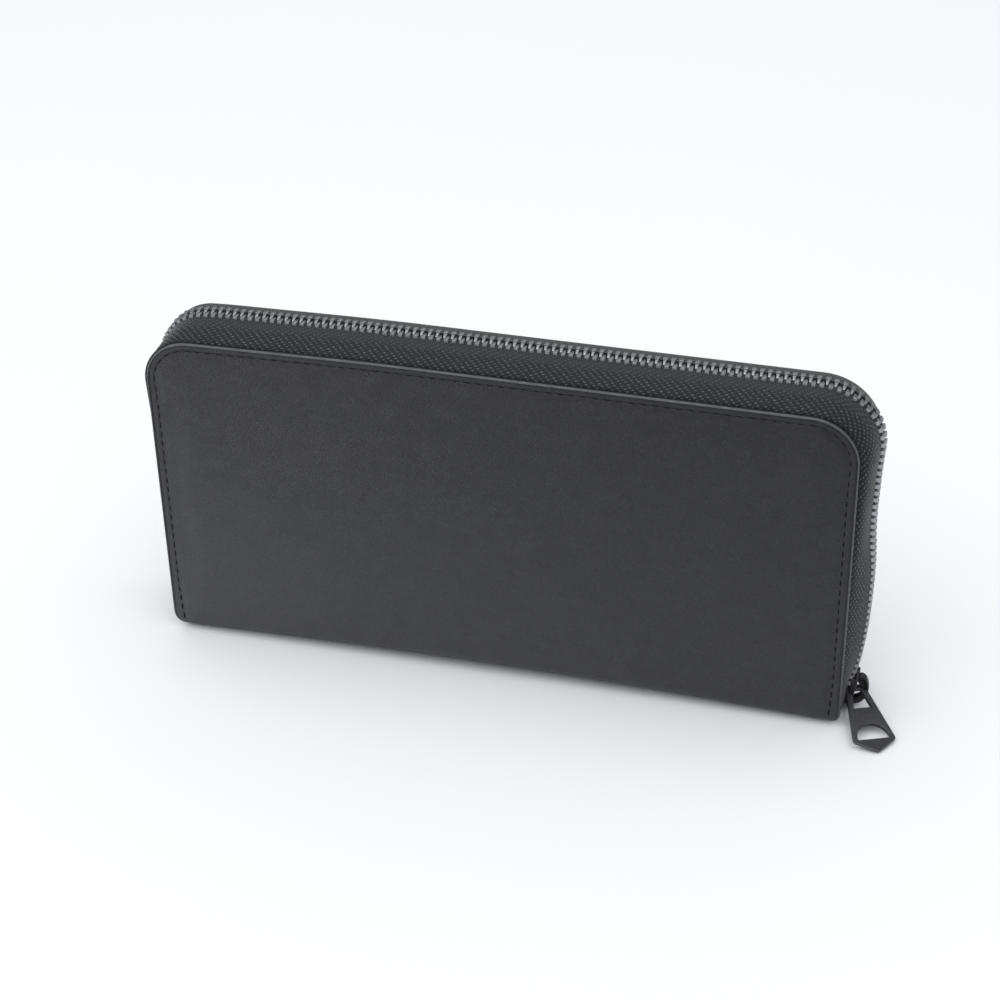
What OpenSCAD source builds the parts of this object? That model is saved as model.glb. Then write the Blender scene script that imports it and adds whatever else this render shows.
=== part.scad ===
// Long zip-around wallet that stands on its spine, with a zipped coin pocket in the middle.
// X runs along the wallet, Y through its thickness (front cover at -Y), Z up from the table.

/* [Covers] */
// Half of the width across the covers' edges
rim_half = 93; // [80:1:110]
// Height of the covers' top edge above the table
rim_top = 94.6; // [85:0.1:110]
// Radius of the covers' top corners
rim_radius = 12.5; // [8:0.5:20]
// Distance from the middle of the wallet to a cover's outer face
cover_y = 10.9; // [10.9:0.1:14]
// Thickness of the outer leather
leather_t = 1.1; // [0.9:0.1:1.1]

/* [Inside layers] */
// Thickness of the foam under the outer leather
foam_t = 0.5; // [0.3:0.1:0.5]
// Thickness of the stiffener board
board_t = 0.5; // [0.3:0.1:0.5]
// Thickness of the cover's lining
lining_t = 0.4; // [0.3:0.1:0.4]
// Thickness of one card pocket layer
card_t = 0.3; // [0.2:0.05:0.3]
// Number of card pocket layers on each cover
card_count = 4; // [2:1:4]
// Height step from one card pocket to the next
card_step = 11; // [8:1:12]
// Height of the tallest card pocket
card_top = 74; // [60:1:78]

/* [Main zip] */
// Distance between neighbouring teeth on one tape
pitch = 2.03; // [1.8:0.01:2.4]
// Radius of the zip's line round the top corners
zip_radius = 16; // [14:0.5:18]
// Lean of the zip's side runs, in degrees, towards the middle at the foot
lean = 2.66; // [1:0.01:4]
// Length of a side run of teeth
side_run = 75; // [60:1:76]
// Thickness of a tooth
tooth_t = 2.2; // [1.8:0.1:2.6]
// Thickness of the woven tape
tape_t = 0.5; // [0.3:0.1:0.6]
// Clear bulge of the tape beyond the covers' edge
tape_bulge = 3; // [2:0.1:4]

/* [Coin pocket] */
// Half of the coin pocket's length
coin_half = 86; // [70:1:88]
// Height of the coin pocket's walls
coin_top = 76; // [60:1:78]
// Inner half width of the coin pocket
coin_y = 2.3; // [2.3:0.1:2.6]
// Thickness of a coin pocket wall
coin_wall_t = 0.5; // [0.4:0.1:0.6]
// Distance between neighbouring teeth of the coin zip
coin_pitch = 1.6; // [1.4:0.1:2]

/* [Slider and pull] */
// Length of the slider's body
slider_len = 10; // [9:0.5:11]
// Length of the pull from its pivot to the point
pull_len = 20.9; // [18:0.1:24]
// Half of the pull's greatest width
pull_half = 5.75; // [5:0.05:6.5]
// Thickness of the pull
pull_t = 1.5; // [1.2:0.1:1.8]
// Angle of the pull's width from the X axis, in degrees
pull_turn = 29; // [20:1:40]
// Slope of the pull down to the table, in degrees
pull_slope = 14.6; // [12:0.1:18]

/* [Hidden] */
$fn = 64;
eps = 0.01;
spine_top = 3.4;
spine_half = 91;
spine_round = 2;
fold_y = 8.9;
fold_z = 2.2;
cover_foot = 3.8;

// Faces of the cover's layers, as distances from the middle of the wallet
leather_in = cover_y - leather_t;
foam_in = leather_in - foam_t;
board_in = foam_in - board_t;
lining_in = board_in - lining_t;
layer_foot = 6;
filling_inset = 8.6;
lining_inset = 4;

// The main zip's centre line: two side runs, two corner arcs and a top run
side_out = 4.1;
top_out = 2.85;
arc_x = rim_half + side_out - zip_radius;
arc_z = rim_top + top_out - zip_radius;
line_x = arc_x + zip_radius * cos(lean);
line_z = arc_z - zip_radius * sin(lean);
arc_turn = 90 + lean;
tape_inner_y = 2.4;
tape_sewn = 5.4;
tape_joint = 0.03;
tape_side_len = side_run + 3.5;
tooth_body = 1.3;
tooth_head = 0.9;
tooth_neck_y = 0.9;
tooth_tip_y = 0.6;
arc_end = arc_x + zip_radius * arc_turn * PI / 180;
front_shift = 0.25;
back_shift = 0.75;

// The slider sits at the foot of the right side run
slider_s = side_run - 5;
plate_in = 1.35;
plate_out = 2.05;
slider_w_top = 3.3;
slider_w_foot = 4.1;
bridge_half_t = 0.6;
bridge_centre = -0.4;
bridge_out = 6.1;
bridge_in = 5.0;

// The pull pivots in the slider's bridge
pivot = [rim_half + 3.35, -1, 6.1];
pull_open = 3;
pull_top_half = 2.1;
pull_corner = 17;
hole_foot = 6.85;
d_radius = 4.5;
d_centre = 16.3;
d_flat = 16.6;
rail = 1.2;

// The coin zip closes the top of the coin pocket
coin_zip_z = 81.3;
coin_teeth_end = 66.5;
coin_teeth_start = -78;
coin_slider_x = 65;
coin_slider_len = 8;
coin_pivot = [coin_slider_x + 4, 0, 84.05];
gusset_in = 76;
gusset_out = 85.6;
gusset_y = 2.95;
pleat = 0.95;
pleat_t = 0.3;

// Outline of a cover in X and Z: square at the foot, round at the top corners
module cover_outline(inset, foot) {
    w = rim_half - inset;
    top = rim_top - inset;
    r = max(rim_radius - inset, 2);
    union() {
        translate([-w, foot]) square([2 * w, top - r - foot]);
        translate([r - w, foot]) square([2 * (w - r), top - foot]);
        for (side = [-1, 1]) translate([side * (w - r), top - r]) circle(r);
    }
}

// A flat layer of the front cover between two distances from the middle
module layer(inset, foot, outer, inner) {
    translate([0, -inner, 0]) rotate([90, 0, 0]) linear_extrude(outer - inner) cover_outline(inset, foot);
}

// The back cover mirrors the front one
module at_back() {
    mirror([0, 1, 0]) children();
}

module cover_leather() {
    color("#2c2d30") layer(0, cover_foot, cover_y, leather_in);
}

// The thread lies in a line 2.4 mm in from the cover's edge
module seam_thread() {
    color("#151517") translate([0, -cover_y, 0]) rotate([90, 0, 0]) linear_extrude(0.2) difference() {
        cover_outline(2.2, cover_foot);
        cover_outline(2.7, cover_foot - 1);
    }
}

module cover_foam() {
    color("#8a8a88") layer(filling_inset, layer_foot, leather_in, foam_in);
}

module cover_board() {
    color("#a08a68") layer(filling_inset, layer_foot, foam_in, board_in);
}

module cover_lining() {
    color("#242427") layer(lining_inset, layer_foot, board_in, lining_in);
}

// Card pockets lie on the lining, each lower and nearer the middle than the one before
module card_pocket(i) {
    outer = lining_in - i * card_t;
    color("#2b2b2e") translate([-82, -outer, layer_foot])
        cube([164, card_t, card_top - i * card_step - layer_foot]);
}

// Cross-section of the tape: sewn flange under the leather, then a bulge up to the teeth.
// X here is the distance out from the zip's line and Y the distance from the middle.
module tape_section() {
    edge = -top_out;
    reach = leather_in - 0.05 - tape_inner_y;
    outer = [for (t = [0:15:90]) [edge + tape_bulge * sin(t), tape_inner_y + reach * cos(t)]];
    inner = [for (t = [90:-15:0])
        [edge + (tape_bulge - tape_t) * sin(t), tape_inner_y + (reach - tape_t) * cos(t)]];
    polygon(concat([[edge - tape_sewn, tape_inner_y + reach]], outer, inner,
        [[edge - tape_sewn, tape_inner_y + reach - tape_t]]));
}

// Puts children made along +Z from the zip's line, with +X outwards, on a side run, pointing down
module on_side(side) {
    mirror([side < 0 ? 1 : 0, 0, 0]) translate([line_x, 0, line_z]) rotate([0, lean, 0])
        mirror([0, 0, 1]) children();
}

// The top run and the two corners, a hair apart so that each is a solid of its own
module tape_top() {
    color("#1f2329") {
        translate([tape_joint - arc_x, 0, arc_z + zip_radius]) rotate([90, 0, 90]) rotate([0, 0, 90])
            linear_extrude(2 * (arc_x - tape_joint)) tape_section();
        for (side = [-1, 1]) mirror([side < 0 ? 1 : 0, 0, 0]) translate([arc_x, 0, arc_z])
            rotate([90, 0, 0]) rotate([0, 0, -lean]) rotate_extrude(angle = arc_turn, $fn = 96)
                translate([zip_radius, 0]) tape_section();
    }
}

module tape_side(side) {
    color("#1f2329") on_side(side) mirror([0, 1, 0]) linear_extrude(tape_side_len) tape_section();
}

// One tooth of the front tape: a clamped body and a narrower head across the middle
module tooth() {
    translate([-tooth_t / 2, -tape_inner_y, -tooth_body / 2])
        cube([tooth_t, tape_inner_y - tooth_neck_y, tooth_body]);
    translate([-tooth_t / 2, -tooth_neck_y - eps, -tooth_head / 2])
        cube([tooth_t, tooth_neck_y + tooth_tip_y + eps, tooth_head]);
}

// Puts a tooth at a distance along the zip from the middle of the top run, negative to the left
module at_zip(s) {
    away = abs(s);
    if (away <= arc_x) translate([s, 0, arc_z + zip_radius]) rotate([0, -90, 0]) children();
    else if (away <= arc_end) mirror([s < 0 ? 1 : 0, 0, 0]) translate([arc_x, 0, arc_z])
        rotate([0, (away - arc_x) * 180 / PI / zip_radius - 90, 0]) translate([zip_radius, 0, 0]) children();
    else on_side(s) translate([0, 0, away - arc_end]) children();
}

// Teeth between two distances along the zip, moved along by a share of the pitch
module teeth(from, to, shift) {
    color("#6d6f73") for (i = [ceil(from / pitch - shift):floor(to / pitch - shift)])
        at_zip((i + shift) * pitch) tooth();
}

module teeth_top(shift) {
    teeth(-arc_end, arc_end, shift);
}

module teeth_side(side, shift) {
    low = arc_end + eps;
    high = arc_end + side_run - tooth_body;
    if (side < 0) teeth(-high, -low, shift);
    else teeth(low, high, shift);
}

// The spine's leather, with a filler strip inside it, rests flat on the table
module spine_leather() {
    color("#2c2d30") translate([-spine_half, 0, 0]) rotate([90, 0, 90]) linear_extrude(2 * spine_half) union() {
        translate([-fold_y, spine_round]) square([2 * fold_y, spine_top - spine_round]);
        translate([spine_round - fold_y, 0]) square([2 * (fold_y - spine_round), spine_top]);
        for (face = [-1, 1]) translate([face * (fold_y - spine_round), spine_round])
            intersection() {
                circle(spine_round);
                translate([-spine_round, -spine_round]) square([2 * spine_round, spine_top]);
            }
    }
}

module spine_board() {
    color("#a08a68") translate([-84, -6.6, spine_top]) cube([168, 13.2, 0.8]);
}

module coin_wall() {
    color("#26262a") translate([-coin_half, -coin_y - coin_wall_t, spine_top + 0.8])
        cube([2 * coin_half, coin_wall_t, coin_top - spine_top - 0.8]);
}

module coin_pocket_sides() {
    color("#26262a") for (side = [-1, 1]) translate([side * (coin_half - 0.3) - 0.3, -coin_y, spine_top + 1.4])
        cube([0.6, 2 * coin_y, coin_top - spine_top - 1.4]);
}

module coin_pocket_floor() {
    color("#26262a") translate([-coin_half, -coin_y, spine_top + 0.8]) cube([2 * coin_half, 2 * coin_y, 0.6]);
}

// The coin zip's tape stands on the wall's inside and turns in at the top
module coin_tape() {
    color("#1f2329") {
        translate([-coin_half + 1, -coin_y - coin_wall_t, coin_top])
            cube([2 * coin_half - 2, 0.4, coin_zip_z + 0.2 - coin_top]);
        translate([-coin_half + 1, -coin_y - coin_wall_t + 0.4 - eps, coin_zip_z - 0.2])
            cube([2 * coin_half - 2, 0.5 + eps, 0.4]);
    }
}

module coin_teeth(shift) {
    color("#7d7f83") for (i = [0:floor((coin_teeth_end - coin_teeth_start) / coin_pitch) - 1])
        translate([coin_teeth_start + (i + shift) * coin_pitch, -coin_y + 0.4, coin_zip_z - 0.7])
            cube([0.7, 2.3, 1.4]);
}

module coin_zip_stops() {
    color("#7d7f83") {
        translate([coin_teeth_start - 3, -1.9, coin_zip_z - 0.9]) cube([1.8, 3.8, 1.8]);
        translate([coin_slider_x + coin_slider_len + 0.6, -1.9, coin_zip_z - 0.9]) cube([1.4, 3.8, 1.8]);
    }
}

// A pleated side wall between the coin pocket and a cover: four panels joined at their folds
module gusset(side) {
    color("#222225") mirror([side < 0 ? 1 : 0, 0, 0]) mirror([0, 1, 0]) translate([0, 0, 7])
        linear_extrude(62) for (i = [0:3]) {
            x_start = i % 2 == 0 ? gusset_out : gusset_in;
            x_end = i % 2 == 0 ? gusset_in : gusset_out;
            y_start = gusset_y + i * pleat;
            polygon([[x_start, y_start], [x_end, y_start + pleat], [x_end, y_start + pleat + pleat_t],
                [x_start, y_start + pleat_t]]);
        }
}

// Little leather tabs that hold the ends of the zip on the spine
module zip_foot_tabs() {
    color("#2c2d30") for (side = [-1, 1])
        translate([side * (coin_half + 2.4) - 2.1, -3.2, spine_top]) cube([4.2, 6.4, 2.2]);
}

// Outline of a slider's plate: narrow where the closed teeth leave, wide where the open ones enter
module slider_plate() {
    polygon([[-slider_w_top, 0], [slider_w_top, 0], [slider_w_foot, 5.5], [slider_w_foot, 8.4],
        [1.6, slider_len], [-1.6, slider_len], [-slider_w_foot, 8.4], [-slider_w_foot, 5.5]]);
}

// Turns a flat shape drawn in Y and distance down the run into a plate facing outwards
module facing_out(r_low, r_high) {
    translate([r_low, 0, 0]) rotate([90, 0, 90]) linear_extrude(r_high - r_low) children();
}

module slider_body() {
    color("#1b1c1f") on_side(1) translate([0, 0, slider_s]) {
        facing_out(plate_in, plate_out) slider_plate();
        facing_out(-plate_out, -plate_in) slider_plate();
        facing_out(-plate_in - eps, plate_in + eps)
            polygon([[-0.35, 6.6], [0.35, 6.6], [1.5, 8.6], [1.4, slider_len - 0.2],
                [-1.4, slider_len - 0.2], [-1.5, 8.6]]);
        for (face = [-1, 1]) for (level = [-1, 1])
            translate([level * 1.1 - 0.26, face * (slider_w_top - 0.35) - 0.35, 0])
                cube([0.52, 0.7, 5.5]);
    }
}

module slider_bridge() {
    color("#141416") on_side(1) translate([bridge_centre, bridge_half_t, slider_s + slider_len / 2])
        rotate([90, 0, 0]) difference() {
            cylinder(h = 2 * bridge_half_t, r = bridge_out);
            translate([0, 0, -1]) cylinder(h = 2 * bridge_half_t + 2, r = bridge_in);
            translate([-10, -10, -1]) cube([10 + plate_out - bridge_centre, 20, 4]);
        }
}

// Outline of the pull: X is its width and Y the distance from the pivot
module pull_outline() {
    function half_at(y) = pull_top_half + (pull_half - pull_top_half) * y / pull_corner;
    difference() {
        polygon([[-half_at(pull_open), pull_open], [half_at(pull_open), pull_open], [pull_half, pull_corner],
            [0, pull_len], [-pull_half, pull_corner]]);
        polygon([[-half_at(0) + rail, 0], [half_at(0) - rail, 0], [half_at(hole_foot) - rail, hole_foot],
            [-half_at(hole_foot) + rail, hole_foot]]);
        intersection() {
            translate([0, d_centre]) circle(d_radius);
            translate([-10, 0]) square([20, d_flat]);
        }
    }
}

module pull_tab() {
    color("#17181a") translate(pivot) rotate([0, 0, pull_turn]) rotate([pull_slope, 0, 0])
        mirror([0, 1, 0]) translate([0, 0, -pull_t / 2]) linear_extrude(pull_t) pull_outline();
}

module coin_slider_body() {
    color("#1b1c1f") translate([coin_slider_x, 0, 0]) {
        translate([0, -2.8, coin_zip_z + 1.0]) cube([coin_slider_len, 5.6, 0.8]);
        translate([0, -1.6, coin_zip_z - 2]) cube([coin_slider_len, 3.2, 0.8]);
        translate([3.4, -0.6, coin_zip_z - 1.2 - eps]) cube([3, 1.2, 2.2 + 2 * eps]);
    }
}

module coin_slider_bridge() {
    color("#141416") translate([coin_pivot[0], 0.7, coin_zip_z + 1.2]) rotate([90, 0, 0]) difference() {
        cylinder(h = 1.4, r = 3.2);
        translate([0, 0, -1]) cylinder(h = 4, r = 2.3);
        translate([-5, -10.6, -1]) cube([10, 11.2, 4]);
    }
}

// The coin zip's pull lies along the pocket, with its bar through the bridge
module coin_pull_tab() {
    color("#17181a") translate(coin_pivot) {
        translate([0, 1.9, 0]) rotate([90, 0, 0]) cylinder(h = 3.8, r = 0.5);
        translate([0, 0, -0.4]) linear_extrude(0.8) difference() {
            polygon([[0, -1.9], [0, 1.9], [-13, 3], [-15, 2.2], [-15, -2.2], [-13, -3]]);
            polygon([[0.1, -1.1], [0.1, 1.1], [-4.4, 1.4], [-4.4, -1.4]]);
        }
    }
}

spine_leather();
spine_board();
coin_wall();  // coin_wall_front
at_back() coin_wall();  // coin_wall_back
coin_pocket_sides();
coin_pocket_floor();
coin_tape();  // coin_tape_front
at_back() coin_tape();  // coin_tape_back
coin_teeth(0);  // coin_teeth_front
at_back() coin_teeth(0.5);  // coin_teeth_back
coin_zip_stops();
gusset(-1);  // gusset_front_left
gusset(1);  // gusset_front_right
at_back() gusset(-1);  // gusset_back_left
at_back() gusset(1);  // gusset_back_right
zip_foot_tabs();
cover_leather();  // front_leather
seam_thread();  // front_seam_thread
cover_foam();  // front_foam
cover_board();  // front_board
cover_lining();  // front_lining
card_pocket(0);  // front_card_pocket_1
card_pocket(1);  // front_card_pocket_2
card_pocket(2);  // front_card_pocket_3
card_pocket(3);  // front_card_pocket_4
tape_top();  // front_tape_top
tape_side(-1);  // front_tape_left
tape_side(1);  // front_tape_right
teeth_top(front_shift);  // front_teeth_top
teeth_side(-1, front_shift);  // front_teeth_left
teeth_side(1, front_shift);  // front_teeth_right
at_back() cover_leather();  // back_leather
at_back() seam_thread();  // back_seam_thread
at_back() cover_foam();  // back_foam
at_back() cover_board();  // back_board
at_back() cover_lining();  // back_lining
at_back() card_pocket(0);  // back_card_pocket_1
at_back() card_pocket(1);  // back_card_pocket_2
at_back() card_pocket(2);  // back_card_pocket_3
at_back() card_pocket(3);  // back_card_pocket_4
at_back() tape_top();  // back_tape_top
at_back() tape_side(-1);  // back_tape_left
at_back() tape_side(1);  // back_tape_right
at_back() teeth_top(back_shift);  // back_teeth_top
at_back() teeth_side(-1, back_shift);  // back_teeth_left
at_back() teeth_side(1, back_shift);  // back_teeth_right
slider_body();
slider_bridge();
pull_tab();
coin_slider_body();
coin_slider_bridge();
coin_pull_tab();
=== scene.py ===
"""Visual model of a black long wallet with a zip round three sides, standing on its spine."""
import math

import bmesh
import bpy
import numpy as np
from mathutils import Matrix, Vector


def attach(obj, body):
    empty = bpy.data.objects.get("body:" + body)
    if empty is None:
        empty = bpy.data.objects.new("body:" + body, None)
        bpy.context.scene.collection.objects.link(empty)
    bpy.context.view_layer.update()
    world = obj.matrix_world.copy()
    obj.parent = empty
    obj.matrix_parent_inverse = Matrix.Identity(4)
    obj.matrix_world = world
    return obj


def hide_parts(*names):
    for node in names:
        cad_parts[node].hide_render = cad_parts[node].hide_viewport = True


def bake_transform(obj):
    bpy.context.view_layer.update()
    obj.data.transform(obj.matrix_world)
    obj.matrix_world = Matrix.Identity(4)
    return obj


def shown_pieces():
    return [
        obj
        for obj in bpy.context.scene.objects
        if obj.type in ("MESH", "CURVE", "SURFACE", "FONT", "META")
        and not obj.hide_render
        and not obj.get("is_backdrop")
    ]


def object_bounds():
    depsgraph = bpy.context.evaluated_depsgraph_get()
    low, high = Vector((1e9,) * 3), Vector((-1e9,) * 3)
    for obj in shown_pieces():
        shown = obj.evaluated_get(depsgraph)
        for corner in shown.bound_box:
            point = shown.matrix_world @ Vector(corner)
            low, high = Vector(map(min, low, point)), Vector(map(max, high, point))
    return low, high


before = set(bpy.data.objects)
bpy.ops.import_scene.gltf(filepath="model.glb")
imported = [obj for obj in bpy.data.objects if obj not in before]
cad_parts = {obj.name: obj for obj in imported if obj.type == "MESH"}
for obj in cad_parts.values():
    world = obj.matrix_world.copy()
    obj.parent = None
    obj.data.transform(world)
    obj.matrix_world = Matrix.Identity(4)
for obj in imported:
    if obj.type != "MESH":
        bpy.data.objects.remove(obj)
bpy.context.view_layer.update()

MM = 0.001

# Sizes from the CAD model, in millimetres: +X along the wallet, -Y to the front, +Z up
RIM_HALF, RIM_TOP, RIM_RADIUS = 93.35, 94.6, 12.5
COVER_Y, LEATHER_IN = 10.9, 9.8
SPINE_TOP = 3.4
ZIP_RADIUS = 16.0
LEAN = math.radians(2.66)
ARC_X = 97.1 - ZIP_RADIUS
ARC_Z = RIM_TOP + 2.85 - ZIP_RADIUS
ARC_END = ARC_X + ZIP_RADIUS * (math.pi / 2 + LEAN)
RUN_X = ARC_X + ZIP_RADIUS * math.cos(LEAN)
RUN_Z = ARC_Z - ZIP_RADIUS * math.sin(LEAN)
SIDE_RUN = 75.0
PITCH = 2.03
SLIDER_AT, SLIDER_LEN, SLIDER_TILT = 70.0, 10.0, math.radians(-8)
PIVOT = (95.95, -1.2, 5.95)
PULL_TURN, PULL_SLOPE, PULL_ROLL = math.radians(26.4), math.radians(14.45), math.radians(4.8)
COIN_HALF, COIN_TOP, COIN_ZIP_Z, COIN_Y = 86.0, 76.0, 81.3, 2.3
COIN_SLIDER_X = 65.0
COIN_PIVOT = (69.0, 0.0, 84.05)
POCKET_FOOT = SPINE_TOP + 0.8
FLOOR_TOP = SPINE_TOP + 1.4


# ---------------------------------------------------------------- mesh helpers

def smooth_through(x, xs, ys):
    """Cubic curve through the knots (xs, ys), level at both ends."""
    x, xs, ys = np.asarray(x, float), np.asarray(xs, float), np.asarray(ys, float)
    slope = np.gradient(ys, xs)
    slope[0] = slope[-1] = 0
    i = np.clip(np.searchsorted(xs, x, side="right") - 1, 0, len(xs) - 2)
    h = xs[i + 1] - xs[i]
    u = np.clip((x - xs[i]) / h, 0, 1)
    return ((1 + 2 * u) * (1 - u) ** 2 * ys[i] + u * (1 - u) ** 2 * h * slope[i]
            + u * u * (3 - 2 * u) * ys[i + 1] + u * u * (u - 1) * h * slope[i + 1])


def ramp(x, low, high):
    """0 below low, 1 above high, smooth between."""
    u = np.clip((np.asarray(x, float) - low) / (high - low), 0, 1)
    return u * u * (3 - 2 * u)


class Shape:
    """Vertices in millimetres, faces and UVs in metres, gathered before they become an object."""

    def __init__(self):
        self.verts, self.faces, self.uvs = [], [], []
        self.count = 0

    def add(self, verts, faces, uvs=None):
        verts = np.asarray(verts, float).reshape(-1, 3)
        self.verts.append(verts)
        self.faces += [tuple(i + self.count for i in f) for f in faces]
        self.uvs.append(verts[:, [0, 2]] * MM if uvs is None else np.asarray(uvs, float).reshape(-1, 2) * MM)
        self.count += len(verts)
        return self

    def patch(self, points, uvs=None):
        """A grid of quads through an array of points, rows by columns."""
        rows, columns = points.shape[:2]
        faces = [(r * columns + c, r * columns + c + 1, (r + 1) * columns + c + 1, (r + 1) * columns + c)
                 for r in range(rows - 1) for c in range(columns - 1)]
        return self.add(points.reshape(-1, 3), faces, None if uvs is None else uvs.reshape(-1, 2))

    def thick(self, outer, inner, uvs=None):
        """Two grids of points joined round their borders into one solid sheet."""
        self.patch(outer, uvs).patch(inner, uvs)
        for at in (np.s_[0], np.s_[-1], np.s_[:, 0], np.s_[:, -1]):
            self.patch(np.stack([outer[at], inner[at]]))
        return self

    def copies(self, template, places):
        """One copy of the template (verts, faces) for each 4x4 placement."""
        for place in places:
            self.add(*moved(template, place))
        return self

    def mirrored(self):
        """The same shape for the back of the wallet."""
        out = Shape()
        out.verts = [v * (1, -1, 1) for v in self.verts]
        out.faces, out.uvs, out.count = [f[::-1] for f in self.faces], self.uvs, self.count
        return out


def finish_mesh(name, shape, material, merge=0.0015, sharp=50):
    """An object from a shape: doubled points merged, normals outward, rest position kept for textures."""
    mesh = bpy.data.meshes.new(name)
    mesh.from_pydata((np.concatenate(shape.verts) * MM).tolist(), [], shape.faces)
    uv = mesh.uv_layers.new(name="Weave")
    loops = np.zeros(len(mesh.loops), np.int64)
    mesh.loops.foreach_get("vertex_index", loops)
    uv.data.foreach_set("uv", np.concatenate(shape.uvs)[loops].astype(np.float32).ravel())
    bm = bmesh.new()
    bm.from_mesh(mesh)
    if merge:
        bmesh.ops.remove_doubles(bm, verts=bm.verts, dist=merge * MM)
    bmesh.ops.recalc_face_normals(bm, faces=bm.faces)
    bm.to_mesh(mesh)
    bm.free()
    mesh.shade_smooth()
    mesh.set_sharp_from_angle(angle=math.radians(sharp))
    keep_rest(mesh)
    mesh.materials.append(material)
    obj = bpy.data.objects.new(name, mesh)
    bpy.context.scene.collection.objects.link(obj)
    return obj


def keep_rest(mesh):
    """Stores each point's rest position, so a texture stays on the piece when it bends."""
    co = np.zeros(len(mesh.vertices) * 3, np.float32)
    mesh.vertices.foreach_get("co", co)
    mesh.attributes.new("rest", "FLOAT_VECTOR", "POINT").data.foreach_set("vector", co)


def bm_template(bm):
    """Vertices and faces of a bmesh, in millimetres."""
    verts = np.array([v.co[:] for v in bm.verts])
    faces = [tuple(v.index for v in f.verts) for f in bm.faces]
    bm.free()
    return verts, faces


def rounded_box(low, high, bevel, segments=2):
    """A box between two corners with rounded edges, as a template."""
    bm = bmesh.new()
    bmesh.ops.create_cube(bm, size=1)
    low, high = np.array(low, float), np.array(high, float)
    for v in bm.verts:
        v.co = Vector((low + high) / 2 + (high - low) * np.array(v.co[:]))
    bmesh.ops.bevel(bm, geom=bm.edges[:], offset=bevel, segments=segments, profile=0.5, affect="EDGES")
    bm.verts.index_update()
    return bm_template(bm)


def prism(outline, low, high, bevel, segments=2):
    """A flat outline in X and Y extruded from low to high in Z, its rims rounded."""
    bm = bmesh.new()
    face = bm.faces.new([bm.verts.new((x, y, low)) for x, y in outline])
    out = bmesh.ops.extrude_face_region(bm, geom=[face])
    for v in out["geom"]:
        if isinstance(v, bmesh.types.BMVert):
            v.co.z = high
    bm.normal_update()
    rims = [e for e in bm.edges if abs(e.verts[0].co.z - e.verts[1].co.z) < 1e-6]
    bmesh.ops.bevel(bm, geom=rims, offset=bevel, segments=segments, profile=0.5, affect="EDGES")
    bmesh.ops.recalc_face_normals(bm, faces=bm.faces)
    bm.verts.index_update()
    return bm_template(bm)


def moved(template, matrix):
    """A template's vertices and faces after a 4x4 matrix."""
    verts, faces = template
    flat = np.c_[verts, np.ones(len(verts))]
    return (flat @ np.asarray(matrix, float).T)[:, :3], faces


def tube(path, radii, sides=12):
    """A round bar along a path of points, in millimetres, with a radius at each point."""
    path = np.asarray(path, float)
    n = len(path)
    tangent = np.gradient(path, axis=0)
    tangent /= np.linalg.norm(tangent, axis=1)[:, None]
    up = np.array([1.0, 0.0, 0.0] if abs(tangent[:, 1]).max() > 0.9 else [0.0, 1.0, 0.0])
    side = np.cross(tangent, up)
    side /= np.linalg.norm(side, axis=1)[:, None]
    up = np.cross(side, tangent)
    angle = np.linspace(0, 2 * np.pi, sides, endpoint=False)[None, :, None]
    ring = np.cos(angle) * side[:, None] + np.sin(angle) * up[:, None]
    verts = (path[:, None] + np.broadcast_to(radii, n)[:, None, None] * ring).reshape(-1, 3)
    faces = [(r + c, r + (c + 1) % sides, r + sides + (c + 1) % sides, r + sides + c)
             for r in range(0, (n - 1) * sides, sides) for c in range(sides)]
    faces += [tuple(range(sides))[::-1], tuple((n - 1) * sides + c for c in range(sides))]
    return verts, faces


def stitch_template(length, width, height):
    """One stitch: a thread lying along X that dives into the leather at both ends."""
    along = np.linspace(-1, 1, 9)
    path = np.c_[along * length / 2, np.zeros(9), height * (1 - along ** 4) - 0.45 * width]
    return tube(path, width / 2 * np.sqrt(1 - 0.75 * along ** 6), sides=8)


def placement(origin, along, up):
    """A frame with X along the first direction and Z towards the second."""
    x = np.asarray(along, float) / np.linalg.norm(along)
    z = np.asarray(up, float) - np.dot(up, x) * x
    z /= np.linalg.norm(z)
    m = np.eye(4)
    m[:3, 0], m[:3, 1], m[:3, 2], m[:3, 3] = x, np.cross(z, x), z, origin
    return m


# ---------------------------------------------------------------- materials

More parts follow.
